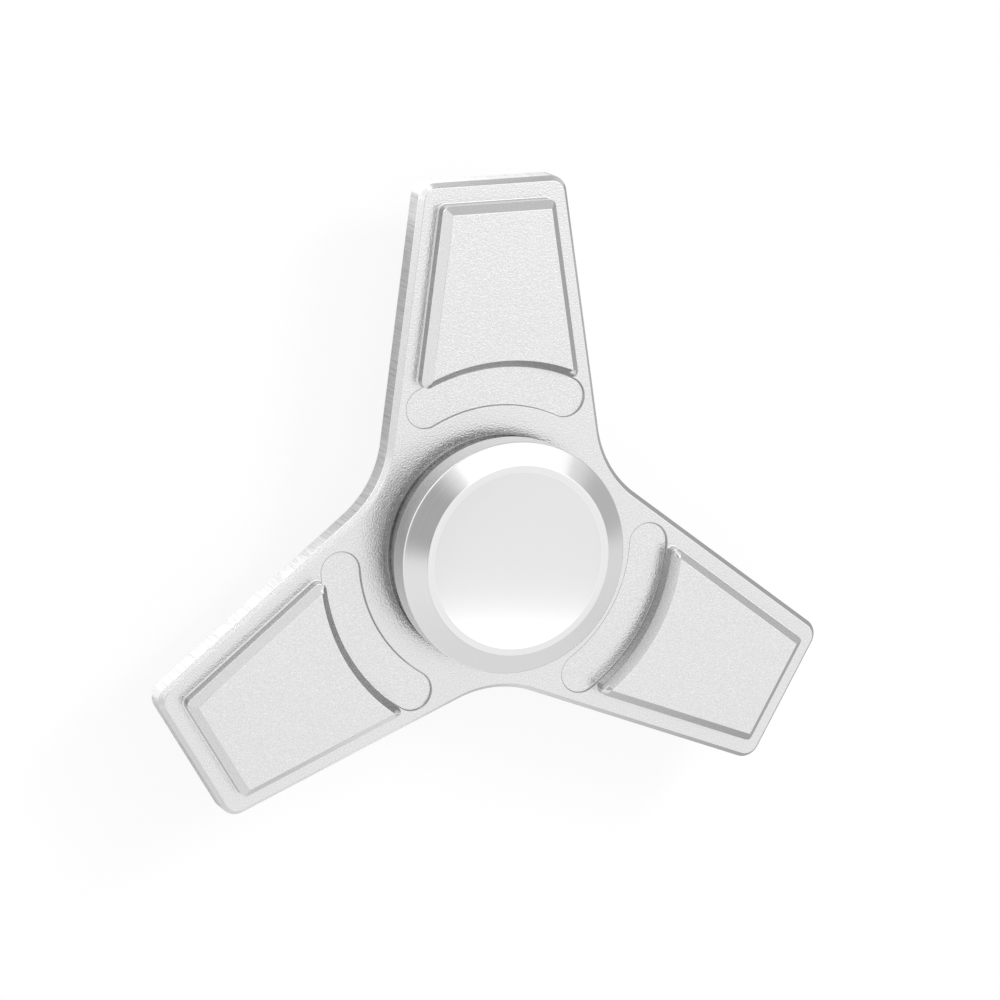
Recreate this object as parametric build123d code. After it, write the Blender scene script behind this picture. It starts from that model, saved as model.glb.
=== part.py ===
from build123d import *
from math import atan2, cos, degrees, radians, sin, sqrt, tan
import os

# Three-arm fidget spinner in machined aluminium. Millimetres, +Z up, origin on the hub axis at mid-thickness.
# The first arm points along +Y.

# Body plate: three arms that narrow toward their ends.
arm_count = 3
web_thickness = 3.4
arm_reach = 36.45
arm_root_half_width = 12.6  # half width that the arm's sides would have at the hub axis
side_lean = 8.0  # degrees each side leans in toward the arm's end
tip_radius = 1.75
crotch_radius = 10.35  # concave blend between neighbouring arms
rim_bevel_in = 0.45
rim_bevel_down = 0.65

# Weight pad on each face of each arm.
pad_wall_height = 1.2
pad_bevel_in = 0.78
pad_bevel_up = 0.84
pad_end = 34.37
pad_root_half_width = 10.6
pad_corner_radius = 0.7
pad_foot_blend = 0.12

# Arc recess between pad and hub, one pass of a 4 mm cutter concentric with the hub.
recess_path_radius = 16.26
recess_width = 4.0
recess_half_angle = 26.7
recess_depth = 0.28
recess_floor_blend = 0.15  # the cutter's own corner, left along the floor

# 608 ball bearing: 8 mm bore, 22 mm outside, 7 mm wide, seven 5/32 in balls.
bearing_bore = 8.0
bearing_outside = 22.0
bearing_width = 7.0
ball_count = 7
ball_diameter = 3.969
ball_circle = 15.0
ring_corner = 0.3
inner_land = 12.1
outer_land = 17.8
groove_conformity = 0.52  # groove radius over ball diameter
ball_play = 0.01
seat_lead_in = 0.35
cut_overshoot = 1.0  # how far a cutting solid runs past the face it opens

# Dust shield and the snap ring that holds it.
shield_thickness = 0.25
shield_bore = 12.5
shield_step = 0.2  # how far the pressed middle stands out from its rim
shield_seat_depth = 0.75
shield_seat_radius = 9.6
shield_play = 0.03
shield_flat_rim = 0.3  # how far the flat rim reaches in past the ring's land
clip_size = 0.36
clip_groove_depth = 0.2
clip_gap_angle = 26.0
clip_play = 0.02

# Ribbon cage: two pressed halves joined by rivets between the balls.
cage_sheet = 0.3
cage_inner_radius = 6.6
cage_outer_radius = 8.4
pocket_play = 0.06
rivet_shank = 0.7
rivet_head = 1.2
rivet_head_height = 0.22

# Finger caps: two turned buttons screwed together through the bearing.
cap_outside = 23.1
cap_rest_height = 7.55  # mid-plane to the flat rim that the spinner lies on
cap_bevel_radius = 9.43
cap_bevel_drop = 1.23
cap_side_height = 2.65
dish_radius = 8.81
dish_depth = 0.95
cap_edge_break = 0.12
shoulder_radius = 5.5  # the step that bears on the inner ring
stub_length = 3.3
stub_play = 0.01
stud_radius = 2.5  # M5 thread, drawn plain
stud_play = 0.02
stud_reach = 3.7
tapped_depth = 4.0
thread_lead_in = 0.4
drill_point = 59.0  # half angle of the drill tip at the end of the tapped hole

# Worked out from the dimensions above.
half_web = web_thickness / 2
half_bearing = bearing_width / 2
ball_radius = ball_diameter / 2
ball_circle_radius = ball_circle / 2
groove_radius = groove_conformity * ball_diameter
pocket_radius = ball_radius + pocket_play
lean = tan(radians(side_lean))
pad_height = pad_wall_height + pad_bevel_up
pad_inner_radius = recess_path_radius + recess_width / 2
stub_end = half_bearing - stub_length


def polar(radius, angle):
    return (radius * cos(radians(angle)), radius * sin(radians(angle)))


def turned(*profile):
    """Solid of revolution round the hub axis from (radius, height) corners."""
    return revolve(Plane.XZ * make_face(Polyline(*profile, close=True)), Axis.Z)


def ring_of(count, piece):
    """Copies of a piece spread evenly round the hub axis."""
    return [Rot(0, 0, i * 360 / count) * piece for i in range(count)]


def both_faces(piece):
    return [piece, mirror(piece, Plane.XY)]


# Body


def body_outline():
    """Outline of the plate: three trapezoid arms, rounded at the tips and blended at the crotches."""
    tip_half_width = arm_root_half_width - arm_reach * lean
    half_step = radians(180 / arm_count)
    crotch = arm_root_half_width / (sin(half_step) + cos(half_step) * lean)
    corners = []
    for arm in range(arm_count):
        heading = 90 + arm * 360 / arm_count
        tip_angle = degrees(atan2(tip_half_width, arm_reach))
        tip = sqrt(arm_reach**2 + tip_half_width**2)
        corners += [polar(tip, heading - tip_angle), polar(tip, heading + tip_angle)]
        corners.append(polar(crotch, heading + 180 / arm_count))
    outline = make_face(Polyline(*corners, close=True))
    tips = [v for v in outline.vertices() if v.center().length > 2 * crotch]
    outline = fillet(tips, tip_radius)
    crotches = [v for v in outline.vertices() if v.center().length < 1.2 * crotch]
    return fillet(crotches, crotch_radius)


def bevelled_plate():
    plate = extrude(body_outline(), half_web, both=True)
    for side in (1, -1):
        face = plate.faces().sort_by(Axis.Z)[-1 if side > 0 else 0]
        plate = chamfer(face.edges(), rim_bevel_in, rim_bevel_down, reference=face)
    return plate


def arm_pad():
    """Pad on the first arm's upper face: upright wall, bevelled top, inner edge concentric with the hub."""
    inner = pad_inner_radius / 2
    foot = make_face(
        Polyline(
            (-pad_root_half_width + inner * lean, inner),
            (pad_root_half_width - inner * lean, inner),
            (pad_root_half_width - pad_end * lean, pad_end),
            (-pad_root_half_width + pad_end * lean, pad_end),
            close=True,
        )
    )
    bevel_angle = degrees(atan2(pad_bevel_in, pad_bevel_up))
    wall = extrude(foot, pad_wall_height + half_web)
    top = extrude(Pos(0, 0, pad_wall_height + half_web) * foot, pad_bevel_up, taper=bevel_angle)
    hub_cut = turned(
        (0, -cut_overshoot),
        (pad_inner_radius, -cut_overshoot),
        (pad_inner_radius, half_web + pad_wall_height),
        (pad_inner_radius + pad_bevel_in, half_web + pad_height),
        (pad_inner_radius + pad_bevel_in, half_web + pad_height + cut_overshoot),
        (0, half_web + pad_height + cut_overshoot),
    )
    plan = foot - Circle(pad_inner_radius)
    plan = fillet(plan.vertices(), pad_corner_radius)
    return (wall + top - hub_cut) & extrude(plan, half_web + pad_height)


def arc_recess():
    """Cutter sweep for the recess beside the first arm's pad, with the cutter's broken corner."""
    path = CenterArc((0, 0), recess_path_radius, 90 - recess_half_angle, 2 * recess_half_angle)
    slot = SlotArc(path, recess_width)
    cutter = extrude(Pos(0, 0, half_web - recess_depth) * slot, recess_depth + cut_overshoot)
    floor = cutter.faces().sort_by(Axis.Z)[0]
    return chamfer(floor.edges(), recess_floor_blend)


def bearing_seat():
    """Bore for the outer ring, with a lead-in at both mouths."""
    seat = bearing_outside / 2
    mouth = seat + seat_lead_in + cut_overshoot
    return turned(
        (0, -half_web - cut_overshoot),
        (mouth, -half_web - cut_overshoot),
        (seat, -half_web + seat_lead_in),
        (seat, half_web - seat_lead_in),
        (mouth, half_web + cut_overshoot),
        (0, half_web + cut_overshoot),
    )


def spinner_body():
    pads = [p for pad in ring_of(arm_count, arm_pad()) for p in both_faces(pad)]
    body = bevelled_plate() + pads
    feet = [e for e in body.edges() if is_pad_foot(e)]
    body = chamfer(feet, pad_foot_blend)
    recesses = [r for cut in ring_of(arm_count, arc_recess()) for r in both_faces(cut)]
    return body - recesses - bearing_seat()


def is_pad_foot(edge):
    """True for the edges where a pad's wall meets the plate, apart from the inner wall that the recess cuts."""
    middle = edge @ 0.5
    on_face = abs(abs(middle.Z) - half_web) < 1e-4
    radius = sqrt(middle.X**2 + middle.Y**2)
    return on_face and radius > pad_inner_radius + 0.05 and inside_rim(middle)


def inside_rim(point):
    """True well inside the plate's bevelled rim, measured in the nearest arm's own directions."""
    step = 360 / arm_count
    angle = (degrees(atan2(point.Y, point.X)) - 90 + step / 2) % step - step / 2
    radius = sqrt(point.X**2 + point.Y**2)
    along, across = polar(radius, angle)
    side_room = arm_root_half_width - along * lean - abs(across)
    return side_room > 2 * rim_bevel_in and arm_reach - along > 2 * rim_bevel_in


# Bearing


def groove(track_radius):
    """Torus that cuts a ball track whose deepest circle has this radius, clear of the balls by the play."""
    inner = track_radius < ball_circle_radius
    centre = track_radius + groove_radius if inner else track_radius - groove_radius
    return Torus(centre, groove_radius)


def inner_ring():
    bore, land, top = bearing_bore / 2, inner_land / 2, half_bearing
    ring = turned(
        (bore + ring_corner, -top),
        (land, -top),
        (land, top),
        (bore + ring_corner, top),
        (bore, top - ring_corner),
        (bore, -top + ring_corner),
    )
    return ring - groove(ball_circle_radius - ball_radius - ball_play)


def outer_ring():
    """Ring with the ball track, and at each face a seat for the shield and a groove for its snap ring."""
    outside, land, top = bearing_outside / 2, outer_land / 2, half_bearing
    seat = top - shield_seat_depth
    clip_low = seat + shield_thickness
    clip_high = clip_low + clip_size
    upper = [
        (land, seat),
        (shield_seat_radius, seat),
        (shield_seat_radius, clip_low),
        (shield_seat_radius + clip_groove_depth, clip_low),
        (shield_seat_radius + clip_groove_depth, clip_high),
        (shield_seat_radius, clip_high),
        (shield_seat_radius, top),
        (outside - ring_corner, top),
        (outside, top - ring_corner),
    ]
    lower = [(radius, -height) for radius, height in reversed(upper)]
    return turned(*upper, *lower) - groove(ball_circle_radius + ball_radius + ball_play)


def shield_front():
    """Pressed disc: flat rim on the ring's seat, middle stepped outward over the cage."""
    low = half_bearing - shield_seat_depth
    rim, step, bore = shield_seat_radius - shield_play, outer_land / 2 - shield_flat_rim, shield_bore / 2
    return turned(
        (bore, low + shield_step),
        (step - shield_step, low + shield_step),
        (step, low),
        (rim, low),
        (rim, low + shield_thickness),
        (step + shield_thickness / 2, low + shield_thickness),
        (step - shield_step + shield_thickness / 2, low + shield_step + shield_thickness),
        (bore, low + shield_step + shield_thickness),
    )


def shield_clip_front():
    """Open snap ring, sprung into the outer ring's groove over the shield's rim."""
    low = half_bearing - shield_seat_depth + shield_thickness
    outer = shield_seat_radius + clip_groove_depth - clip_play
    section = Pos(outer - clip_size / 2, low + clip_size / 2) * Rectangle(clip_size, clip_size)
    wire = revolve(Plane.XZ * section, Axis.Z, 360 - clip_gap_angle)
    return Rot(0, 0, 90 + clip_gap_angle / 2) * wire


def around_balls(piece, offset=0.0):
    """Copies of a piece made at the origin, moved to each ball's place, or part way on to the next."""
    angles = [90 + (index + offset) * 360 / ball_count for index in range(ball_count)]
    return [Rot(0, 0, angle) * Pos(ball_circle_radius, 0, 0) * piece for angle in angles]


def balls():
    return around_balls(Sphere(ball_radius))


def cage_front():
    """Upper cage half: flat ribbon on the mid-plane, pressed up into a rounded pocket over each ball."""
    width = cage_outer_radius - cage_inner_radius
    on_base = (Align.CENTER, Align.CENTER, Align.MIN)
    ribbon = Cylinder(cage_outer_radius, cage_sheet, align=on_base)
    ribbon -= Cylinder(cage_inner_radius, cage_sheet, align=on_base)
    dome = Rot(0, 90, 0) * Cylinder(pocket_radius + cage_sheet, width)
    pocket = Rot(0, 90, 0) * Cylinder(pocket_radius, 2 * width)
    upper_half = Cylinder(2 * cage_outer_radius, 2 * pocket_radius, align=on_base)
    blank = (ribbon + around_balls(dome)) & upper_half
    return blank - around_balls(pocket) - around_balls(Cylinder(rivet_shank / 2, 4 * cage_sheet), 0.5)


def cage_rivets():
    """Shanks through both cage halves, headed over on each side."""
    shank, head, end = rivet_shank / 2, rivet_head / 2, cage_sheet + rivet_head_height
    rivet = turned(
        (0, -end),
        (head, -end),
        (head, -cage_sheet),
        (shank, -cage_sheet),
        (shank, cage_sheet),
        (head, cage_sheet),
        (head, end),
        (0, end),
    )
    return around_balls(rivet, 0.5)


# Finger caps


def cap_button():
    """Solid button facing +Z, with its shoulder and its stub into the bearing."""
    top = cap_rest_height
    side_top = top - cap_bevel_drop
    under = side_top - cap_side_height
    rim = cap_outside / 2
    stub = bearing_bore / 2 - stub_play
    button = turned(
        (0, stub_end),
        (stub - cap_edge_break, stub_end),
        (stub, stub_end + cap_edge_break),
        (stub, half_bearing),
        (shoulder_radius, half_bearing),
        (shoulder_radius, under),
        (rim - cap_edge_break, under),
        (rim, under + cap_edge_break),
        (rim, side_top),
        (cap_bevel_radius, top),
        (0, top),
    )
    curve = (dish_radius**2 + dish_depth**2) / (2 * dish_depth)
    return button - Pos(0, 0, top - dish_depth + curve) * Rot(0, -90, 0) * Sphere(curve)


def tapped_hole():
    """Blind hole with a lead-in at the mouth and the drill's cone at the end."""
    end = stub_end + tapped_depth
    return turned(
        (0, stub_end - cut_overshoot),
        (stud_radius + thread_lead_in, stub_end - cut_overshoot),
        (stud_radius + thread_lead_in, stub_end),
        (stud_radius, stub_end + thread_lead_in),
        (stud_radius, end),
        (0, end + stud_radius / tan(radians(drill_point))),
    )


def threaded_stud():
    """Stud that rises from the rear cap's stub, with a bevelled tip."""
    radius = stud_radius - stud_play
    return turned(
        (0, -half_bearing),
        (radius, -half_bearing),
        (radius, stud_reach - thread_lead_in),
        (radius - thread_lead_in, stud_reach),
        (0, stud_reach),
    )


def front_cap():
    return cap_button() - tapped_hole()


def rear_cap():
    """The same button turned over, with the stud that screws into the front cap."""
    return mirror(cap_button(), Plane.XY) + threaded_stud()


def nodes():
    yield "spinner_body", spinner_body()
    yield "front_cap", front_cap()
    yield "rear_cap", rear_cap()
    yield "outer_ring", outer_ring()
    yield "inner_ring", inner_ring()
    for index, ball in enumerate(balls(), start=1):
        yield f"ball_{index}", ball
    halves = {"shield": shield_front(), "shield_clip": shield_clip_front(), "cage": cage_front()}
    for name, piece in halves.items():
        yield f"{name}_front", piece
        yield f"{name}_rear", mirror(piece, Plane.XY)
    yield "cage_rivets", Compound(children=cage_rivets())


os.makedirs("parts", exist_ok=True)
for name, shape in nodes():
    export_step(shape, f"parts/{name}.step")
    print(name, len(shape.solids()), round(shape.volume, 1))
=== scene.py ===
import math

import bmesh
import bpy
from mathutils import Matrix, Vector
from mathutils.geometry import tessellate_polygon


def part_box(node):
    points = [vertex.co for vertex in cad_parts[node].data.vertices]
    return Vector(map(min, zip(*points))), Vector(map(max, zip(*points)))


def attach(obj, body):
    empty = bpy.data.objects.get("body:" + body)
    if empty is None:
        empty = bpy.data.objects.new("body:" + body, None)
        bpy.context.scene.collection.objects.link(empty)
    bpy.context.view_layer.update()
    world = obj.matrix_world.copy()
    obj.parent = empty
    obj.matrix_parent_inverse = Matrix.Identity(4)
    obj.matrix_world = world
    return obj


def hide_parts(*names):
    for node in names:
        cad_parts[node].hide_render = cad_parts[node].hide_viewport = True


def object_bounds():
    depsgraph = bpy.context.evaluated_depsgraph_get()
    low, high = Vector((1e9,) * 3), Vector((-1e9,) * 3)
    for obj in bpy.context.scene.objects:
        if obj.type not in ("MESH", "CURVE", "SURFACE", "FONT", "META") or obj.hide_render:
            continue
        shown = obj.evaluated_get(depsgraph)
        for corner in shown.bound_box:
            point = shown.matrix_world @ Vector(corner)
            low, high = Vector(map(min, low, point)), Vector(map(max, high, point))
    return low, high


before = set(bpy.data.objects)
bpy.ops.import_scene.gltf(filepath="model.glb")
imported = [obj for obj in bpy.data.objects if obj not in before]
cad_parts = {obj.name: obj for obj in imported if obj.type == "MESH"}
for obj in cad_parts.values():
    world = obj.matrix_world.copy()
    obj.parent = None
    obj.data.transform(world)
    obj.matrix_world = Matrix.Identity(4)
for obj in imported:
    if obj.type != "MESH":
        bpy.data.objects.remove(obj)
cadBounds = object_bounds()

mm = 0.001
scene = bpy.context.scene


# Node helpers


class Signal:
    # a node's output that can be used in a sum
    def __init__(self, tree, socket):
        self.tree = tree
        self.socket = socket

    def maths(self, operation, first, second):
        return self.tree.add("ShaderNodeMath", {"operation": operation}, [first, second])

    def __add__(self, other):
        return self.maths("ADD", self, other)

    def __sub__(self, other):
        return self.maths("SUBTRACT", self, other)

    def __rsub__(self, other):
        return self.maths("SUBTRACT", other, self)

    def __mul__(self, other):
        return self.maths("MULTIPLY", self, other)

    def __truediv__(self, other):
        return self.maths("DIVIDE", self, other)

    def __pow__(self, other):
        return self.maths("POWER", self, other)

    __radd__ = __add__
    __rmul__ = __mul__


class Tree:
    def __init__(self, nodeTree):
        self.nodes = nodeTree.nodes
        self.links = nodeTree.links

    def add(self, kind, settings=None, inputs=(), output=0):
        # settings first, then each input takes a value or a Signal
        node = self.nodes.new(kind)
        for name, value in (settings or {}).items():
            setattr(node, name, value)
        feeds = inputs.items() if isinstance(inputs, dict) else enumerate(inputs)
        for name, value in feeds:
            if isinstance(value, Signal):
                self.links.new(value.socket, node.inputs[name])
            else:
                node.inputs[name].default_value = value
        return Signal(self, node.outputs[output]) if node.outputs else None

    def ramp(self, value, low, high, toLow=0.0, toHigh=1.0):
        # eased step from toLow to toHigh while value goes from low to high
        settings = {"interpolation_type": "SMOOTHSTEP"}
        return self.add("ShaderNodeMapRange", settings, [value, low, high, toLow, toHigh])

    def along(self, value, axis):
        return self.add("ShaderNodeVectorMath", {"operation": "DOT_PRODUCT"}, [value, axis], 1)

    def grey(self, level):
        return self.add("ShaderNodeCombineColor", None, [level, level, level])


def startMaterial(name):
    material = bpy.data.materials.new(name)
    material.use_nodes = True
    material.node_tree.nodes.clear()
    return material, Tree(material.node_tree)


# Camera

cameraSettings = {
    "place": (-171.834, 110.721, 433.773),  # millimetres, as aim
    "aim": (1.0628, 4.3690, 0.0),
    "upward": (0.08550, 0.97503, -0.20498),
    "lens": 175.57,
    "sensor": 36.0,
    "clip": (0.01, 20.0),
}


def makeCamera(settings):
    data = bpy.data.cameras.new("camera")
    data.lens = settings["lens"]
    data.sensor_width = settings["sensor"]
    data.clip_start, data.clip_end = settings["clip"]
    camera = bpy.data.objects.new("camera", data)
    place = Vector(settings["place"])
    back = (place - Vector(settings["aim"])).normalized()
    right = Vector(settings["upward"]).cross(back).normalized()
    turn = Matrix((right, back.cross(right), back)).transposed()
    camera.matrix_world = Matrix.Translation(place * mm) @ turn.to_4x4()
    scene.collection.objects.link(camera)
    scene.camera = camera


makeCamera(cameraSettings)
print("camera placed")


# Studio: pale surroundings, a large softbox with a smaller key lamp, and a pale floor

studio = {
    "surroundings": 0.80,
    "overhead": 0.10,  # added toward the zenith
    "overheadFrom": (0.45, 0.8),
    "shades": [  # direction, how much darker (lighter below 0), outer and inner cosine
        ((-0.52, 0.26, 0.81), 0.48, 0.89, 0.985),
        ((0.976, 0.126, 0.154), 0.28, 0.93, 0.99),
        ((0.36, 0.92, 0.0), 0.19, 0.84, 0.98),
        ((-0.90, 0.30, 0.30), -0.07, 0.70, 0.95),
        ((-0.42, -0.12, 0.90), 0.30, 0.965, 0.992),
        ((-0.74, 0.64, 0.18), 0.05, 0.88, 0.98),
        ((-0.60, -0.78, 0.14), 0.10, 0.90, 0.98),
    ],
    "lamps": [  # direction, distance, width and depth in metres, watts, seen in metal
        ("softbox", (0.365, 0.385, 0.848), 0.6, (0.75, 0.52), 0.50, True),
        ("keyLamp", (0.62, 0.50, 0.60), 0.6, (0.16, 0.16), 2.2, False),
    ],
    "floorSize": 6.0,
    "floorColour": 0.85,
    "floorGlow": 1.0,
    "floorShareSeen": 0.9,  # share of glow over paper, as the camera sees it
    "floorShareMirrored": 0.02,  # and in reflections
    "floorPaintedShadeAndLight": [  # painted shade and painted light on the floor, as reflections see it: direction, from, to, what is left (lighter over 1)
        ((0.98, 0.1), -0.016, 0.034, 0.36),
        ((0.2, 0.98), 0.05, 0.11, 0.60),
        ((-0.5, 0.866), 0.0145, 0.018, 0.8),
        ((0.0, 1.0), 0.0355, 0.0385, 1.9),
        ((-0.5, -0.866), 0.022, 0.042, 0.58),
        ((0.3, -0.95), 0.06, 0.10, 1.6),
        ((-1.0, 0.0), 0.0125, 0.02, 1.25),
        ((-0.894, 0.447), 0.035, 0.07, 1.2),
    ],
}


def makeWorld(settings):
    world = bpy.data.worlds.new("studioSurroundings")
    scene.world = world
    world.use_nodes = True
    tree = Tree(world.node_tree)
    world.node_tree.nodes.clear()
    ray = tree.add("ShaderNodeTexCoord")
    height = tree.add("ShaderNodeSeparateXYZ", None, [ray], 2)
    low, high = settings["overheadFrom"]
    level = settings["surroundings"] + settings["overhead"] * tree.ramp(height, low, high)
    for toward, depth, outer, inner in settings["shades"]:
        facing = tree.along(ray, Vector(toward).normalized())
        level = level - depth * tree.ramp(facing, outer, inner)
    inputs = {"Color": tree.grey(level), "Strength": 1.0}
    background = tree.add("ShaderNodeBackground", None, inputs)
    tree.add("ShaderNodeOutputWorld", None, {"Surface": background})


def makeLamp(name, toward, distance, size, watts, inMetal):
    data = bpy.data.lights.new(name, "AREA")
    data.shape = "RECTANGLE"
    data.size, data.size_y = size
    data.energy = watts
    lamp = bpy.data.objects.new(name, data)
    lamp.visible_glossy = inMetal
    toward = Vector(toward).normalized()
    across = Vector((1, 0, 0)).cross(toward).cross(toward).normalized() * -1
    turn = Matrix((across, toward.cross(across), toward)).transposed().to_4x4()
    lamp.matrix_world = Matrix.Translation(toward * distance) @ turn
    scene.collection.objects.link(lamp)


def makeFloor(settings):
    half = settings["floorSize"] / 2
    ground = cadBounds[0][2]
    corners = [(-half, -half), (half, -half), (half, half), (-half, half)]
    mesh = bpy.data.meshes.new("floor")
    mesh.from_pydata([(x, y, ground) for x, y in corners], [], [(0, 1, 2, 3)])
    floor = bpy.data.objects.new("floor", mesh)
    scene.collection.objects.link(floor)
    material, tree = startMaterial("paleFloor")
    seen = tree.add("ShaderNodeLightPath", None, (), "Is Camera Ray")
    glossy = tree.add("ShaderNodeLightPath", None, (), "Is Glossy Ray")
    through = tree.add("ShaderNodeLightPath", None, (), "Is Transmission Ray")
    place = tree.add("ShaderNodeTexCoord", None, (), "Object")
    level = settings["floorColour"]
    # painted shade and painted light: the floor's colour in reflections is darkened in some places
    # and lightened in others
    for (x, y), start, end, left in settings["floorPaintedShadeAndLight"]:
        paintedShadeAndLight = tree.ramp(tree.along(place, (x, y, 0.0)), start, end, 1.0, left)
        level = level * (1 - glossy * (1 - paintedShadeAndLight))
    paper = tree.add("ShaderNodeBsdfDiffuse", None, {"Color": tree.grey(level)})
    white = (1.0, 1.0, 1.0, 1.0)
    glow = tree.add("ShaderNodeEmission", None, {"Color": white, "Strength": settings["floorGlow"]})
    bounced = settings["floorShareMirrored"] * (glossy + through)
    share = settings["floorShareSeen"] * seen + bounced
    mixed = tree.add("ShaderNodeMixShader", None, [share, paper, glow])
    tree.add("ShaderNodeOutputMaterial", None, {"Surface": mixed})
    mesh.materials.append(material)


makeWorld(studio)
for lampSettings in studio["lamps"]:
    makeLamp(*lampSettings)
makeFloor(studio)
print("studio ready")


# Aluminium and steel: depths and pitches in metres, noise scales per metre


def finishMetal(tree, colour, roughness, height, depth):
    bump = tree.add("ShaderNodeBump", None, {"Strength": 1.0, "Distance": depth, "Height": height})
    inputs = {"Base Color": colour, "Metallic": 1.0, "Roughness": roughness, "Normal": bump}
    metal = tree.add("ShaderNodeBsdfPrincipled", None, inputs)
    tree.add("ShaderNodeOutputMaterial", None, {"Surface": metal})


def grains(tree, place, scale, detail=2.0, rough=0.5, stretch=(1.0, 1.0, 1.0)):
    # noise round 0, stretched along the axes
    moved = tree.add("ShaderNodeMapping", None, {"Vector": place, "Scale": stretch})
    inputs = {"Vector": moved, "Scale": scale, "Detail": detail, "Roughness": rough}
    return tree.add("ShaderNodeTexNoise", None, inputs) - 0.5


blastLooks = {
    "colour": 0.84,
    "speckle": 0.38,
    "patches": 0.03,
    "roughness": 0.23,
    "roughnessSpread": 0.1,
    "grainScale": 8200.0,
    "dimpleScale": 5200.0,
    "patchScale": 90.0,
    "sparks": 16.0,  # how far the sharpest grains stand out
    "grainHeight": 0.5,
    "depth": 0.000023,
}


def blasted(name, looks):
    # bead-blasted skin: overlapping dimples and a fine sparkle
    material, tree = startMaterial(name)
    place = tree.add("ShaderNodeTexCoord", None, (), "Object")
    grain = grains(tree, place, looks["grainScale"])
    dimple = grains(tree, place, looks["dimpleScale"], 1.0)
    patch = grains(tree, place, looks["patchScale"])
    level = looks["colour"] + looks["speckle"] * grain + looks["patches"] * patch
    roughness = looks["roughness"] + looks["roughnessSpread"] * dimple
    spark = looks["sparks"] * grain * grain * grain
    height = dimple + looks["grainHeight"] * grain + spark
    finishMetal(tree, tree.grey(level), roughness, height, looks["depth"])
    return material


milledLooks = {
    "colour": 0.9,
    "streaks": 1.1,
    "fineShare": 0.8,
    "roughness": 0.12,
    "roughnessSpread": 0.2,
    "streakScale": 5000.0,
    "waveScale": 900.0,
    "streakLength": 0.05,  # noise scale down the wall, as a share of the scale across
    "depth": 0.000006,
}


def milled(name, looks):
    # side-milled wall: fine cutter marks that run across its height
    material, tree = startMaterial(name)
    place = tree.add("ShaderNodeTexCoord", None, (), "Object")
    stretch = (1.0, 1.0, looks["streakLength"])
    streak = grains(tree, place, looks["streakScale"], 3.0, 0.6, stretch)
    wave = grains(tree, place, looks["waveScale"], 1.0, 0.5, stretch)
    marks = streak * looks["fineShare"] + wave * (1 - looks["fineShare"])
    level = looks["colour"] + looks["streaks"] * marks
    roughness = looks["roughness"] + looks["roughnessSpread"] * streak
    finishMetal(tree, tree.grey(level), roughness, streak, looks["depth"])
    return material


turnedLooks = {
    "colour": 0.88,
    "roughness": 0.2,
    "roughnessSpread": 0.1,
    "rings": 0.08,
    "ringPitch": 0.00011,
    "ringSlant": 0.7,  # how fast the rings follow each other down a side
    "ringDrift": 0.6,  # how fast a ring changes round the axis
    "depth": 0.0000012,
}


def turnedMetal(name, looks):
    # lathe marks: rings round the hub axis, on the flats and down the sides
    material, tree = startMaterial(name)
    place = tree.add("ShaderNodeTexCoord", None, (), "Object")
    x, y, z = [tree.add("ShaderNodeSeparateXYZ", None, [place], axis) for axis in range(3)]
    radius = (x * x + y * y) ** 0.5
    angle = x.maths("ARCTAN2", y, x)
    path = (radius - looks["ringSlant"] * z) / looks["ringPitch"]
    where = tree.add("ShaderNodeCombineXYZ", None, [path, looks["ringDrift"] * angle, 0.0])
    inputs = {"Vector": where, "Scale": 1.0, "Detail": 3.0}
    ring = tree.add("ShaderNodeTexNoise", None, inputs) - 0.5
    level = looks["colour"] + looks["rings"] * ring
    roughness = looks["roughness"] + looks["roughnessSpread"] * ring
    finishMetal(tree, tree.grey(level), roughness, ring, looks["depth"])
    return material


polishedLooks = {
    "colour": 0.72,
    "mottle": 0.04,
    "blue": 1.01,
    "roughness": 0.06,
    "haze": 0.08,
    "hazeScale": 900.0,
    "scratchScale": 5200.0,
    "scratchStretch": 0.08,
    "depth": 0.0000002,
}


def polished(name, looks):
    # lapped ball: a clear mirror with a faint haze and hairline scratches
    material, tree = startMaterial(name)
    place = tree.add("ShaderNodeTexCoord", None, (), "Object")
    haze = grains(tree, place, looks["hazeScale"])
    stretch = (1.0, looks["scratchStretch"], 1.0)
    scratch = grains(tree, place, looks["scratchScale"], 2.0, 0.6, stretch)
    level = looks["colour"] + looks["mottle"] * haze
    colour = tree.add("ShaderNodeCombineColor", None, [level, level, level * looks["blue"]])
    roughness = looks["roughness"] + looks["haze"] * haze
    finishMetal(tree, colour, roughness, scratch, looks["depth"])
    return material


pressedLooks = {
    "colour": 0.55,
    "green": 0.99,
    "blue": 0.97,
    "mottle": 0.12,
    "mottleScale": 700.0,
    "mottleHeight": 0.5,
    "rollingShade": 0.5,
    "roughness": 0.34,
    "roughnessSpread": 0.15,
    "rollScale": 6000.0,
    "rollStretch": 0.06,
    "depth": 0.000003,
}


def pressed(name, looks):
    # cold-rolled sheet after pressing: fine rolling lines under a mottled satin
    material, tree = startMaterial(name)
    place = tree.add("ShaderNodeTexCoord", None, (), "Object")
    stretch = (looks["rollStretch"], 1.0, 1.0)
    rolling = grains(tree, place, looks["rollScale"], 2.0, 0.5, stretch)
    mottle = grains(tree, place, looks["mottleScale"])
    level = looks["colour"] + looks["mottle"] * (mottle + looks["rollingShade"] * rolling)
    tinted = [level, level * looks["green"], level * looks["blue"]]
    colour = tree.add("ShaderNodeCombineColor", None, tinted)
    roughness = looks["roughness"] + looks["roughnessSpread"] * mottle
    height = rolling + looks["mottleHeight"] * mottle
    finishMetal(tree, colour, roughness, height, looks["depth"])
    return material


# each finish below changes some of the looks above

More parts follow.
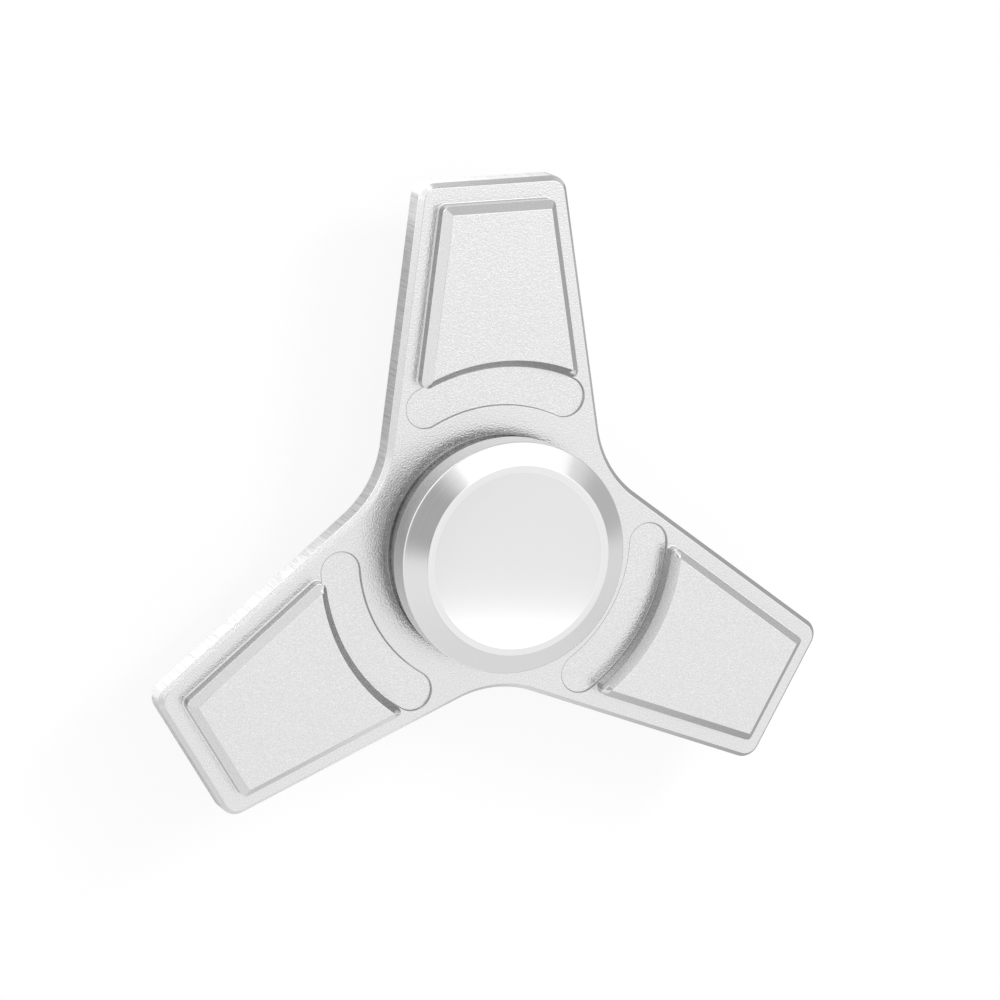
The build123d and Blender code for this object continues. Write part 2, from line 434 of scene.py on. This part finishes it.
bevelLooks = {"colour": 0.86, "speckle": 0.25, "roughness": 0.2, "depth": 0.000004}
# painted shade: the pad walls, recess walls and recess edge get the milled metal darkened, for the
# shade beside the pads and in the recess
shadedPadWallLooks = {"colour": 0.58, "streaks": 0.18, "roughness": 0.3, "depth": 0.000002}
dishLooks = {"roughness": 0.25, "rings": 0.02, "depth": 0.0000003}
capLooks = {"colour": 0.84, "roughness": 0.15}
# painted highlight: the cap's rim and the bevel's lower edge get the turned metal brightened
highlightRimLooks = {"colour": 0.91, "roughness": 0.17, "rings": 0.12}
# painted shade: the cap's side and underside get the turned metal darkened, for the shade low on
# the cap
shadedCapSideLooks = {"colour": 0.62, "roughness": 0.26, "rings": 0.12}
# the bearing steel's own darker tone, deepened as painted shade for the dark gap under the cap
steelAndShadeRingLooks = {"colour": 0.52, "roughness": 0.22, "rings": 0.05}
shieldLooks = {"colour": 0.58, "roughness": 0.28, "rings": 0.1, "depth": 0.000002}
clipLooks = {"colour": 0.45, "roughness": 0.3, "rings": 0.14, "ringPitch": 0.00005}
rivetLooks = {"colour": 0.62, "roughness": 0.26, "rollStretch": 1.0}

blastedSkin = blasted("blastedAluminium", blastLooks)
bevelSkin = blasted("bevelAluminium", {**blastLooks, **bevelLooks})
wallSkin = milled("milledAluminium", milledLooks)
shadedPadWallSkin = milled("shadedPadWallAluminium", {**milledLooks, **shadedPadWallLooks})
dishSkin = turnedMetal("dishAluminium", {**turnedLooks, **dishLooks})
capSkin = turnedMetal("turnedAluminium", {**turnedLooks, **capLooks})
highlightRimSkin = turnedMetal("highlightRimAluminium", {**turnedLooks, **highlightRimLooks})
shadedCapSideSkin = turnedMetal("shadedCapSideAluminium", {**turnedLooks, **shadedCapSideLooks})
steelAndShadeRingSkin = turnedMetal("groundSteelWithPaintedShade", {**turnedLooks, **steelAndShadeRingLooks})
ballSkin = polished("lappedSteel", polishedLooks)
cageSkin = pressed("cageSheet", pressedLooks)
rivetSkin = pressed("rivetSteel", {**pressedLooks, **rivetLooks})
shieldSkin = turnedMetal("shieldSheet", {**turnedLooks, **shieldLooks})
clipSkin = turnedMetal("springWire", {**turnedLooks, **clipLooks})
print("metals mixed")


# Meshes, worked out in millimetres


def direction(degrees):
    return Vector((math.cos(math.radians(degrees)), math.sin(math.radians(degrees))))


def flipped(place):
    return Vector((-place.x, place.y))


def leftOf(samples):
    # the same samples on the left side, in the order that carries on from the right side
    return [(flipped(p), flipped(n), *rest) for p, n, *rest in reversed(samples)]


def roundedProfile(corners, steps=3, hold=0.05):
    # polyline of (across, up, radius) corners, each rounded by an arc; where the run beside
    # an arc is long enough, a close point keeps the flat's shading flat
    places = [Vector(corner[:2]) for corner in corners]
    points = [places[0]]
    for before, here, after, corner in zip(places, places[1:], places[2:], corners[1:]):
        radius = corner[2]
        if radius == 0:
            points.append(here)
            continue
        toBefore = (before - here).normalized()
        toAfter = (after - here).normalized()
        half = toBefore.angle(toAfter) / 2
        reach = radius / math.tan(half)
        longEnough = reach + 1.5 * hold
        centre = here + (toBefore + toAfter).normalized() * (radius / math.sin(half))
        start = here + toBefore * reach - centre
        turn = math.pi - 2 * half
        if toBefore.x * toAfter.y - toBefore.y * toAfter.x > 0:
            turn = -turn
        if (before - here).length > longEnough:
            points.append(here + toBefore * (reach + hold))
        for step in range(steps + 1):
            points.append(centre + Matrix.Rotation(turn * step / steps, 2) @ start)
        if (after - here).length > longEnough:
            points.append(here + toAfter * (reach + hold))
    points.append(places[-1])
    return [(point.x, point.y) for point in points]


def quarterBlend(radius, level, steps):
    # (reach, height) from the flat at level up the wall; below 0 it breaks an edge instead
    turns = [math.radians(90 * step / steps) for step in range(steps + 1)]
    return [(radius * (1 - math.sin(t)), level + radius * (1 - math.cos(t))) for t in turns]


class Shell:
    # a surface gathered strip by strip, each face with the number of its finish
    def __init__(self):
        self.points = []
        self.faces = []
        self.finishes = []

    def row(self, places, height):
        first = len(self.points)
        self.points += [(place[0], place[1], height) for place in places]
        return list(range(first, len(self.points)))

    def strip(self, lower, upper, finish):
        for start in range(len(lower) - 1):
            self.faces.append((lower[start], lower[start + 1], upper[start + 1], upper[start]))
            self.finishes.append(finish)

    def fill(self, loops, finish):
        # flat surface between closed loops, facing up
        order = [index for loop in loops for index in loop]
        flat = [[Vector(self.points[index]) for index in loop] for loop in loops]
        for triangle in tessellate_polygon(flat):
            first, second, third = [order[corner] for corner in triangle]
            a, b, c = [Vector(self.points[index]) for index in (first, second, third)]
            upward = (b - a).cross(c - a).z > 0
            self.faces.append((first, second, third) if upward else (first, third, second))
            self.finishes.append(finish)

    def mesh(self, name, mergeDistance, outward=False):
        mesh = bpy.data.meshes.new(name)
        mesh.from_pydata(self.points, [], self.faces)
        marks = mesh.attributes.new("finish", "INT", "FACE")
        marks.data.foreach_set("value", self.finishes)
        work = bmesh.new()
        work.from_mesh(mesh)
        bmesh.ops.remove_doubles(work, verts=work.verts, dist=mergeDistance)
        bmesh.ops.dissolve_degenerate(work, edges=work.edges, dist=mergeDistance)
        if outward:
            bmesh.ops.recalc_face_normals(work, faces=work.faces)
        bmesh.ops.scale(work, verts=work.verts, vec=(mm, mm, mm))
        work.to_mesh(mesh)
        work.free()
        return mesh


sharpAngle = math.radians(35)


def finishPiece(name, mesh, body, node):
    mesh.shade_smooth()
    mesh.set_sharp_from_angle(angle=sharpAngle)
    piece = bpy.data.objects.new(name, mesh)
    scene.collection.objects.link(piece)
    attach(piece, body)
    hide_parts(node)


# Body: a third of one face, then turned round the hub and over to the other side

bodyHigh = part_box("spinner_body")[1]
bodySizes = {
    "reach": bodyHigh.y / mm,
    "padTop": bodyHigh.z / mm,
    "armAngle": 120,
    "crotchAngle": 30,  # degrees to the crotch beside an arm that points along y
    "halfWeb": 1.7,
    "rootHalfWidth": 12.6,
    "lean": 8.0,
    "tipRadius": 1.75,
    "crotchRadius": 10.35,
    "rimBevelIn": 0.45,
    "rimBevelDown": 0.65,
    "padRootHalfWidth": 10.6,
    "padEnd": 34.37,
    "padCorner": 0.7,
    "padBevelIn": 0.78,
    "padBevelUp": 0.84,
    "padFoot": 0.12,
    "padSplits": (0.09, 0.12, 0.15, 0.18, 0.21, 0.24),  # rows where round corners become mitres
    "recessPath": 16.26,
    "recessHalfWidth": 2.0,
    "recessHalfAngle": 26.7,
    "recessDepth": 0.28,
    "recessFloorBlend": 0.08,
    "recessEdge": 0.08,
    "recessEdgeGrowth": 3.0,  # how fast the edge break grows away from the cusps
    "boreRadius": 11.0,
    "boreLeadIn": 0.35,
    "boreEdgeRound": 0.05,
    "edgeRound": 0.08,
    "hold": 0.05,  # from an arc to the close point beside it
    "run": 3.0,  # flat that a profile is led in on or out on
    "merge": 0.0004,
}
bodySteps = {
    "crotch": 14,
    "side": 8,
    "tip": 14,
    "hubCorner": 22,
    "padSide": 6,
    "endCorner": 16,
    "innerEdge": 48,
    "edge": 3,
    "bore": 48,
    "recessOutside": 12,
    "recessEnd": 20,
    "recessInside": 24,
}
faceFinish, bevelFinish, wallFinish, shadedPadWallFinish = 0, 1, 2, 3


def heldRun(start, end, steps, hold):
    # places along a straight run, the first and last close to the arcs at its ends
    share = hold / (end - start).length
    shares = [share] + [step / steps for step in range(1, steps)] + [1 - share]
    return [start.lerp(end, part) for part in shares]


def armOutline(sizes, steps):
    # (place, outward direction) along one arm, from crotch to crotch
    side = direction(sizes["lean"])
    width = sizes["rootHalfWidth"] * math.cos(math.radians(sizes["lean"]))
    radius = sizes["crotchRadius"]
    first = sizes["crotchAngle"]
    centre = direction(first) * ((width + radius) / side.dot(direction(first)))
    samples = []
    for step in range(steps["crotch"] + 1):
        normal = direction(first - (first - sizes["lean"]) * step / steps["crotch"])
        samples.append((centre - normal * radius, normal))
    radius = sizes["tipRadius"]
    tip = sizes["reach"] - radius
    centre = Vector(((width - radius - tip * side.y) / side.x, tip))
    start, end = samples[-1][0], centre + side * radius
    samples += [(place, side) for place in heldRun(start, end, steps["side"], sizes["hold"])]
    for step in range(steps["tip"] + 1):
        normal = direction(sizes["lean"] + (90 - sizes["lean"]) * step / steps["tip"])
        samples.append((centre + normal * radius, normal))
    for across in (centre.x - sizes["hold"], centre.x / 2):
        samples.append((Vector((across, sizes["reach"])), Vector((0, 1))))
    return samples + leftOf(samples)


class PadPlan:
    # plan of the pad: leaning sides, a square end, and an inner edge round the hub
    def __init__(self, sizes, steps):
        self.steps = steps
        self.normal = direction(sizes["lean"])
        self.along = Vector((-self.normal.y, self.normal.x))
        self.side = sizes["padRootHalfWidth"] * self.normal.x
        self.end = sizes["padEnd"]
        self.inner = sizes["recessPath"] + sizes["recessHalfWidth"]
        self.corner = sizes["padCorner"]
        self.hold = sizes["hold"]
        reach = self.inner + self.corner
        lean = math.radians(sizes["lean"])
        self.cuspAngle = math.degrees(lean + math.acos((self.side - self.corner) / reach))
        self.cusp = direction(self.cuspAngle) * self.inner

    def inset(self, place, owner, amount):
        # a place on the rounded plan, moved in to the bevel plane of the wall that owns it
        side, end, inner = self.side - amount, self.end - amount, self.inner + amount
        hubMitre = math.sqrt(inner**2 - side**2)
        endMitre = (end - side * self.normal.y) / self.normal.x
        right = Vector((abs(place.x), place.y))
        if owner == "side" and right.dot(self.normal) > side:
            where = min(max(right.dot(self.along), hubMitre), endMitre)
            moved = self.normal * side + self.along * where
            return Vector((math.copysign(moved.x, place.x), moved.y))
        if owner == "end" and place.y > end:
            limit = (self.normal * side + self.along * endMitre).x
            return Vector((max(-limit, min(place.x, limit)), end))
        if owner == "hub" and place.length < inner:
            limit = (self.normal * side + self.along * hubMitre).x
            across = max(-limit, min(place.x * inner / place.length, limit))
            return Vector((across, math.sqrt(inner**2 - across**2)))
        return place

    def cornerArc(self, centre, first, last, owners, steps):
        samples = []
        for step in range(steps + 1):
            normal = direction(first + (last - first) * step / steps)
            owner = owners[0] if step < steps / 2 else owners[1]
            samples.append((centre + normal * self.corner, normal, owner))
        return samples

    def outside(self):
        # (place, outward direction, wall) from the right cusp round the end to the left cusp
        lean = math.degrees(math.atan2(self.normal.y, self.normal.x))
        hubCorner = direction(self.cuspAngle) * (self.inner + self.corner)
        top = self.end - self.corner
        endCorner = Vector(((self.side - self.corner - top * self.normal.y) / self.normal.x, top))
        steps = self.steps["hubCorner"]
        samples = self.cornerArc(hubCorner, self.cuspAngle - 180, lean, ("hub", "side"), steps)
        start, end = samples[-1][0], endCorner + self.normal * self.corner
        for place in heldRun(start, end, self.steps["padSide"], self.hold):
            samples.append((place, self.normal, "side"))
        samples += self.cornerArc(endCorner, lean, 90, ("side", "end"), self.steps["endCorner"])
        samples.append((Vector((endCorner.x - self.hold, self.end)), Vector((0, 1)), "end"))
        return samples + leftOf(samples)

    def inside(self):
        # along the inner edge, from the left cusp back to the right one
        samples = []
        for step in range(self.steps["innerEdge"] + 1):
            swept = (2 * self.cuspAngle - 180) * step / self.steps["innerEdge"]
            ray = direction(180 - self.cuspAngle + swept)
            samples.append((ray * self.inner, -ray, "hub"))
        return samples


def bodySector(sizes, steps):
    shell = Shell()
    web, top, hold, run = sizes["halfWeb"], sizes["padTop"], sizes["hold"], sizes["run"]

    # rim of the arm: wall, bevel, then a close loop on the flat
    outline = armOutline(sizes, steps)
    bevelStart = (0, web - sizes["rimBevelDown"], sizes["edgeRound"])
    bevelEnd = (sizes["rimBevelIn"], web, sizes["edgeRound"])
    corners = [(0, 0, 0), bevelStart, bevelEnd, (run, web, 0)]
    profile = roundedProfile(corners, steps["edge"], hold)[:-1]
    rows = [shell.row([p - n * inset for p, n in outline], height) for inset, height in profile]
    for number, (lower, upper) in enumerate(zip(rows, rows[1:])):
        # two strips of wall, the bevel with its arcs, and one strip of the flat
        above = bevelFinish if number < len(rows) - 2 else faceFinish
        shell.strip(lower, upper, wallFinish if number < 2 else above)
    rimLoop = rows[-1]

    # bore for the bearing, from the lead-in down to mid-thickness
    bore, leadIn, edgeRound = sizes["boreRadius"], sizes["boreLeadIn"], sizes["boreEdgeRound"]
    leadInTop = (bore + leadIn, web, edgeRound)
    leadInFoot = (bore, web - leadIn, edgeRound)
    corners = [(bore + run, web, 0), leadInTop, leadInFoot, (bore, 0, 0)]
    rays = []
    for step in range(steps["bore"] + 1):
        rays.append(direction(sizes["crotchAngle"] + sizes["armAngle"] * step / steps["bore"]))
    rows = []
    for radius, height in roundedProfile(corners, steps["edge"], hold)[1:]:
        rows.append(shell.row([ray * radius for ray in rays], height))
    for upper, lower in zip(rows, rows[1:]):
        shell.strip(upper, lower, wallFinish)
    boreLoop = rows[0]

    # pad: foot blend, wall, bevel and top
    plan = PadPlan(sizes, steps)
    outside, inside = plan.outside(), plan.inside()
    foot = sizes["padFoot"]
    footBlend = quarterBlend(foot, web, steps["edge"])
    outerRows = []
    for reach, height in [(foot + hold, web)] + footBlend:
        places = []
        for place, normal, owner in outside:
            # the blend narrows to nothing where the pad's corner meets the recess edge
            room = min(1.0, 0.5 * (place.length - plan.inner) / foot)
            places.append(place + normal * reach * room)
        outerRows.append(shell.row(places, height))
    for number, (lower, upper) in enumerate(zip(outerRows, outerRows[1:])):
        shell.strip(lower, upper, faceFinish if number == 0 else bevelFinish)
    bevelTop = (sizes["padBevelIn"], top, sizes["edgeRound"])
    bevelLow = (0, top - sizes["padBevelUp"], sizes["edgeRound"])
    corners = [(0, web + foot, 0), bevelLow, bevelTop, (run, top, 0)]
    profile = roundedProfile(corners, steps["edge"], hold)[:-1]
    slope = sizes["padBevelUp"] / sizes["padBevelIn"]
    profile += [(inset, bevelLow[1] + inset * slope) for inset in sizes["padSplits"]]
    profile.sort(key=lambda point: (point[1], point[0]))
    loop = outside + inside[1:-1]
    rows = []
    for inset, height in profile:
        row = shell.row([plan.inset(p, owner, inset) for p, n, owner in loop], height)
        rows.append(row + row[:1])
    for number, (lower, upper) in enumerate(zip(rows, rows[1:])):
        # painted shade: the pad's wall strips get the darkened pad-wall metal
        finish = shadedPadWallFinish if profile[number + 1][0] < sizes["merge"] else bevelFinish
        shell.strip(lower, upper, faceFinish if number == len(rows) - 2 else finish)
    shell.fill([rows[-1][:-1]], faceFinish)

    # inner wall of the pad, down to the recess floor
    floor, floorBlend = web - sizes["recessDepth"], sizes["recessFloorBlend"]
    floorRows = [(floorBlend + hold, floor)] + quarterBlend(floorBlend, floor, steps["edge"])
    rows = []
    for reach, height in floorRows + [(0, height) for reach, height in footBlend]:
        rows.append(shell.row([p + n * reach for p, n, owner in inside], height))
    for number, (lower, upper) in enumerate(zip(rows, rows[1:])):
        # painted shade: the pad's inner wall gets the darkened pad-wall metal
        shell.strip(lower, upper, faceFinish if number == 0 else shadedPadWallFinish)
    innerFloorRow = rows[0]

    # recess: its outer edge beyond the pad, the round ends and the inner edge
    path, half = sizes["recessPath"], sizes["recessHalfWidth"]
    endAngle = 90 - sizes["recessHalfAngle"]
    endCentre = direction(endAngle) * path
    right = []
    for step in range(steps["recessOutside"]):
        swept = (endAngle - plan.cuspAngle) * step / steps["recessOutside"]
        ray = direction(plan.cuspAngle + swept)
        right.append((ray * plan.inner, -ray))
    for step in range(steps["recessEnd"] + 1):
        normal = direction(endAngle - 180 * step / steps["recessEnd"])
        right.append((endCentre + normal * half, -normal))
    for step in range(1, steps["recessInside"] + 1):
        ray = direction(endAngle + sizes["recessHalfAngle"] * step / steps["recessInside"])
        right.append((ray * (path - half), ray))
    recess = right + leftOf(right[:-1])

    def edgeRoom(place):
        # the edge break also fades out at the cusps
        away = (Vector((abs(place.x), place.y)) - plan.cusp).length
        if away >= plan.corner:
            return 1.0
        gap = plan.corner - math.sqrt(plan.corner**2 - away**2)
        return min(1.0, sizes["recessEdgeGrowth"] * gap)

    edge = sizes["recessEdge"]
    edgeRows = quarterBlend(-edge, web, steps["edge"])[::-1] + [(-edge - hold, web)]
    rows = []
    for number, (reach, height) in enumerate(floorRows + edgeRows):
        first = len(shell.points)
        for place, normal in recess:
            room = edgeRoom(place) if number >= len(floorRows) else 1.0
            spot = place + normal * reach * room
            shell.points.append((spot.x, spot.y, height + (web - height) * (1 - room)))
        rows.append(list(range(first, len(shell.points))))
    for number, (lower, upper) in enumerate(zip(rows, rows[1:])):
        # painted shade: the recess's walls and edge break get the darkened pad-wall metal, which
        # draws its outline as a dark line
        flat = number in (0, len(rows) - 2)
        shell.strip(lower, upper, faceFinish if flat else shadedPadWallFinish)
    shell.fill([rows[0][:-1] + innerFloorRow[:-1]], faceFinish)

    # the flat web between rim, bore, pad and recess
    hole = outerRows[0][:-1] + rows[-1][::-1][:-1]
    shell.fill([rimLoop + boreLoop[::-1], hole], faceFinish)
    return shell.mesh("bodySector", sizes["merge"])


def threeArms(inputs, finishes):
    # tree: the sector on both faces and round every arm, joined and given its finishes
    group = bpy.data.node_groups.new("threeArms", "GeometryNodeTree")
    group.interface.new_socket("Geometry", in_out="INPUT", socket_type="NodeSocketGeometry")
    sockets = {}
    for name, value in inputs.items():
        kind = "NodeSocketInt" if isinstance(value, int) else "NodeSocketFloat"
        sockets[name] = group.interface.new_socket(name, in_out="INPUT", socket_type=kind)
        sockets[name].default_value = value
    group.interface.new_socket("Geometry", in_out="OUTPUT", socket_type="NodeSocketGeometry")
    tree = Tree(group)
    given = tree.add("NodeGroupInput").socket.node
    entry = {socket.name: Signal(tree, socket) for socket in given.outputs if socket.name}
    index = tree.add("GeometryNodeInputIndex")

    flip = tree.add("ShaderNodeCombineXYZ", None, {"Y": index * math.pi})
    spots = tree.add("GeometryNodePoints", None, {"Count": entry["faces"]})
    inputs = {"Points": spots, "Instance": entry["Geometry"], "Rotation": flip}
    both = tree.add("GeometryNodeInstanceOnPoints", None, inputs)
    turn = tree.add("ShaderNodeCombineXYZ", None, {"Z": index * (2 * math.pi) / entry["arms"]})
    spots = tree.add("GeometryNodePoints", None, {"Count": entry["arms"]})
    inputs = {"Points": spots, "Instance": both, "Rotation": turn}
    arms = tree.add("GeometryNodeInstanceOnPoints", None, inputs)
    solid = tree.add("GeometryNodeRealizeInstances", None, {"Geometry": arms})
    inputs = {"Geometry": solid, "Distance": entry["mergeDistance"]}
    solid = tree.add("GeometryNodeMergeByDistance", None, inputs)
    mark = tree.add("GeometryNodeInputNamedAttribute", {"data_type": "INT"}, {"Name": "finish"})
    equal = {"data_type": "INT", "operation": "EQUAL"}
    for number, material in enumerate(finishes):
        chosen = tree.add("FunctionNodeCompare", equal, {2: mark, 3: number})
        inputs = {"Geometry": solid, "Selection": chosen, "Material": material}
        solid = tree.add("GeometryNodeSetMaterial", None, inputs)
    tree.add("NodeGroupOutput", None, {"Geometry": solid})
    return group, sockets


def grownMesh(mesh, group, sockets, values):
    # the tree's result on a mesh, as a plain mesh
    holder = bpy.data.objects.new("grower", mesh)
    scene.collection.objects.link(holder)
    modifier = holder.modifiers.new("grow", "NODES")
    modifier.node_group = group
    for name, value in values.items():
        modifier[sockets[name].identifier] = value
    seen = holder.evaluated_get(bpy.context.evaluated_depsgraph_get())
    grown = bpy.data.meshes.new_from_object(seen)
    holder.modifiers.remove(modifier)
    bpy.data.objects.remove(holder)
    return grown


armInputs = {"arms": 3, "faces": 2, "mergeDistance": bodySizes["merge"] * mm}
armTree, armSockets = threeArms(armInputs, [blastedSkin, bevelSkin, wallSkin, shadedPadWallSkin])
bodyMesh = grownMesh(bodySector(bodySizes, bodySteps), armTree, armSockets, armInputs)
finishPiece("spinnerBody", bodyMesh, "rotor", "spinner_body")
print("body grown from one sector:", len(bodyMesh.polygons), "faces")


# Finger caps and bearing ring, turned round the hub

turnedMerge = 0.0002


def turnedMesh(name, profile, finishes, finishAt, segments, closed=False):
    # finishAt says which finish the band at a (radius, height) gets
    shell = Shell()
    rays = [direction(360 * step / segments) for step in range(segments)]
    rows = []
    for radius, height in profile:
        row = shell.row([ray * radius for ray in rays], height)
        rows.append(row + row[:1])
    bands = list(zip(rows, rows[1:], profile, profile[1:]))
    if closed:
        bands.append((rows[-1], rows[0], profile[-1], profile[0]))
    for inner, outer, start, end in bands:
        shell.strip(outer, inner, finishAt((start[0] + end[0]) / 2, (start[1] + end[1]) / 2))
    mesh = shell.mesh(name, turnedMerge, outward=True)
    for finish in finishes:
        mesh.materials.append(finish)
    numbers = [0] * len(mesh.polygons)
    mesh.attributes["finish"].data.foreach_get("value", numbers)
    mesh.polygons.foreach_set("material_index", numbers)
    return mesh


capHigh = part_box("front_cap")[1]
capSizes = {
    "rest": capHigh.z / mm,
    "rim": capHigh.x / mm,
    "bevelRadius": 9.43,
    "bevelDrop": 1.23,
    "side": 2.65,
    "dishRadius": 8.81,
    "dishDepth": 0.95,
    "dishSteps": 28,
    "dishStop": 0.12,  # the dish's own rows end this far inside the rim
    "rimRound": 0.2,
    "bevelRound": 0.14,
    "edge": 0.12,
    "edgeRound": 0.03,
    "shoulder": 5.5,
    "shoulderRound": 0.02,
    "shoulderUp": 3.5,
    "stub": 3.99,
    "stubEnd": 0.2,
    "holeRadius": 2.5,
    "holeDepth": 4.0,
    "leadIn": 0.4,
    "drillPoint": 59.0,
    "studRadius": 2.48,
    "studReach": 3.7,
    "studRound": 0.05,
    "segments": 180,
}
capBands = {"edge": 0.06, "rim": 0.03, "dish": 0.04}  # how far from its corner a finish changes


def capTop(sizes):
    # dish, flat rim, bevel, side and shoulder, down the stub to its end
    rest, rim, edge, end = sizes["rest"], sizes["rim"], sizes["edge"], sizes["stubEnd"]
    edgeRound, shoulderRound = sizes["edgeRound"], sizes["shoulderRound"]
    bend = (sizes["dishRadius"] ** 2 + sizes["dishDepth"] ** 2) / (2 * sizes["dishDepth"])
    low = rest - sizes["dishDepth"]
    dish = []
    for step in range(sizes["dishSteps"] + 1):
        radius = (sizes["dishRadius"] - sizes["dishStop"]) * step / sizes["dishSteps"]
        dish.append((radius, low + bend - math.sqrt(bend**2 - radius**2), 0))
    sideTop = rest - sizes["bevelDrop"]
    under = sideTop - sizes["side"]
    return dish + [
        (sizes["dishRadius"], rest, sizes["rimRound"]),
        (sizes["bevelRadius"], rest, sizes["bevelRound"]),
        (rim, sideTop, sizes["bevelRound"]),
        (rim, under + edge, edgeRound),
        (rim - edge, under, edgeRound),
        (sizes["shoulder"], under, shoulderRound),
        (sizes["shoulder"], sizes["shoulderUp"], shoulderRound),
        (sizes["stub"], sizes["shoulderUp"], 0),
        (sizes["stub"], end + edge, edgeRound),
        (sizes["stub"] - edge, end, edgeRound),
    ]


def frontCapProfile(sizes):
    hole, end, leadIn = sizes["holeRadius"], sizes["stubEnd"], sizes["leadIn"]
    edgeRound = sizes["edgeRound"]
    deep = end + sizes["holeDepth"]
    point = deep + hole / math.tan(math.radians(sizes["drillPoint"]))
    bottom = [
        (hole + leadIn, end, edgeRound),
        (hole, end + leadIn, edgeRound),
        (hole, deep, edgeRound),
        (0, point, 0),
    ]
    return roundedProfile(capTop(sizes) + bottom)


def rearCapProfile(sizes):
    stud, reach, leadIn = sizes["studRadius"], -sizes["studReach"], sizes["leadIn"]
    bottom = [
        (stud, sizes["stubEnd"], sizes["shoulderRound"]),
        (stud, reach + leadIn, sizes["studRound"]),
        (stud - leadIn, reach, sizes["studRound"]),
        (0, reach, 0),
    ]
    return [(radius, -height) for radius, height in roundedProfile(capTop(sizes) + bottom)]


dishFinish, turnedFinish, shadedSideFinish, highlightRimFinish = 0, 1, 2, 3


def capFinish(radius, height):
    # painted highlight on the rim and the bevel's lower edge, painted shade on the side and
    # underside, then dish and bevel
    height = abs(height)
    edgeHeight = capSizes["rest"] - capSizes["bevelDrop"]
    nearEdge = abs(height - edgeHeight) < capBands["edge"]
    if radius > capSizes["bevelRadius"] and nearEdge:
        return highlightRimFinish
    if height > capSizes["rest"] - capBands["rim"]:
        return highlightRimFinish
    if height < edgeHeight:
        return shadedSideFinish if radius > capSizes["shoulder"] else turnedFinish
    inDish = radius < capSizes["dishRadius"] - capBands["dish"]
    return dishFinish if inDish else turnedFinish


capSkins = [dishSkin, capSkin, shadedCapSideSkin, highlightRimSkin]
for name, node, profile in (
    ("frontCap", "front_cap", frontCapProfile(capSizes)),
    ("rearCap", "rear_cap", rearCapProfile(capSizes)),
):
    mesh = turnedMesh(name, profile, capSkins, capFinish, capSizes["segments"])
    finishPiece(name, mesh, "finger_caps", node)
print("finger caps turned")

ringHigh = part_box("outer_ring")[1]
ringSizes = {
    "outside": ringHigh.x / mm,
    "top": ringHigh.z / mm,
    "corner": 0.3,
    "cornerRound": 0.1,
    "land": 8.9,
    "landRound": 0.04,
    "seat": 9.6,
    "seatDepth": 0.75,
    "seatRound": 0.05,
    "shield": 0.25,
    "clip": 0.36,
    "clipDepth": 0.2,
    "clipRound": 0.03,
    "trackDeep": 9.4945,
    "trackRadius": 2.06388,
    "trackSteps": 16,
    "segments": 160,
}


def outerRingProfile(sizes):
    # from the ball track up over the shield's seat and the snap ring's groove to the outside,
    # and down again
    seat, top, outside, corner = sizes["seat"], sizes["top"], sizes["outside"], sizes["corner"]
    inGroove = seat + sizes["clipDepth"]
    floor = top - sizes["seatDepth"]
    low = floor + sizes["shield"]
    high = low + sizes["clip"]
    centre = sizes["trackDeep"] - sizes["trackRadius"]
    reach = math.degrees(math.acos((sizes["land"] - centre) / sizes["trackRadius"]))
    track = []
    for step in range(sizes["trackSteps"] + 1):
        angle = reach * (2 * step / sizes["trackSteps"] - 1)
        ray = direction(angle) * sizes["trackRadius"]
        track.append((centre + ray.x, ray.y, 0))
    upper = [
        (sizes["land"], floor, sizes["landRound"]),
        (seat, floor, 0),
        (seat, low, 0),
        (inGroove, low, 0),
        (inGroove, high, 0),
        (seat, high, sizes["clipRound"]),
        (seat, top, sizes["seatRound"]),
        (outside - corner, top, sizes["cornerRound"]),
        (outside, top - corner, sizes["cornerRound"]),
    ]
    lower = [(radius, -height, bend) for radius, height, bend in reversed(upper)]
    return roundedProfile(track + upper + lower)


def ringFinish(radius, height):
    return 0


ringProfile = outerRingProfile(ringSizes)
ringSegments = ringSizes["segments"]
ringMesh = turnedMesh("outerRing", ringProfile, [steelAndShadeRingSkin], ringFinish, ringSegments, closed=True)
finishPiece("outerRing", ringMesh, "rotor", "outer_ring")
print("bearing ring turned")


# The CAD solids get their metals; a node's name starts with its kind, longer kinds come first

bearingMetals = {
    "inner_ring": steelAndShadeRingSkin,
    "ball": ballSkin,
    "cage_rivets": rivetSkin,
    "cage": cageSkin,
    "shield_clip": clipSkin,
    "shield": shieldSkin,
    "spinner_body": blastedSkin,
    "front_cap": capSkin,
    "rear_cap": capSkin,
    "outer_ring": steelAndShadeRingSkin,
}
for node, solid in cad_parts.items():
    kind = next(start for start in bearingMetals if node.startswith(start))
    solid.data.materials.clear()
    solid.data.materials.append(bearingMetals[kind])
print("bearing metals given to", len(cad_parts), "solids")

scene.view_settings.view_transform = "Standard"
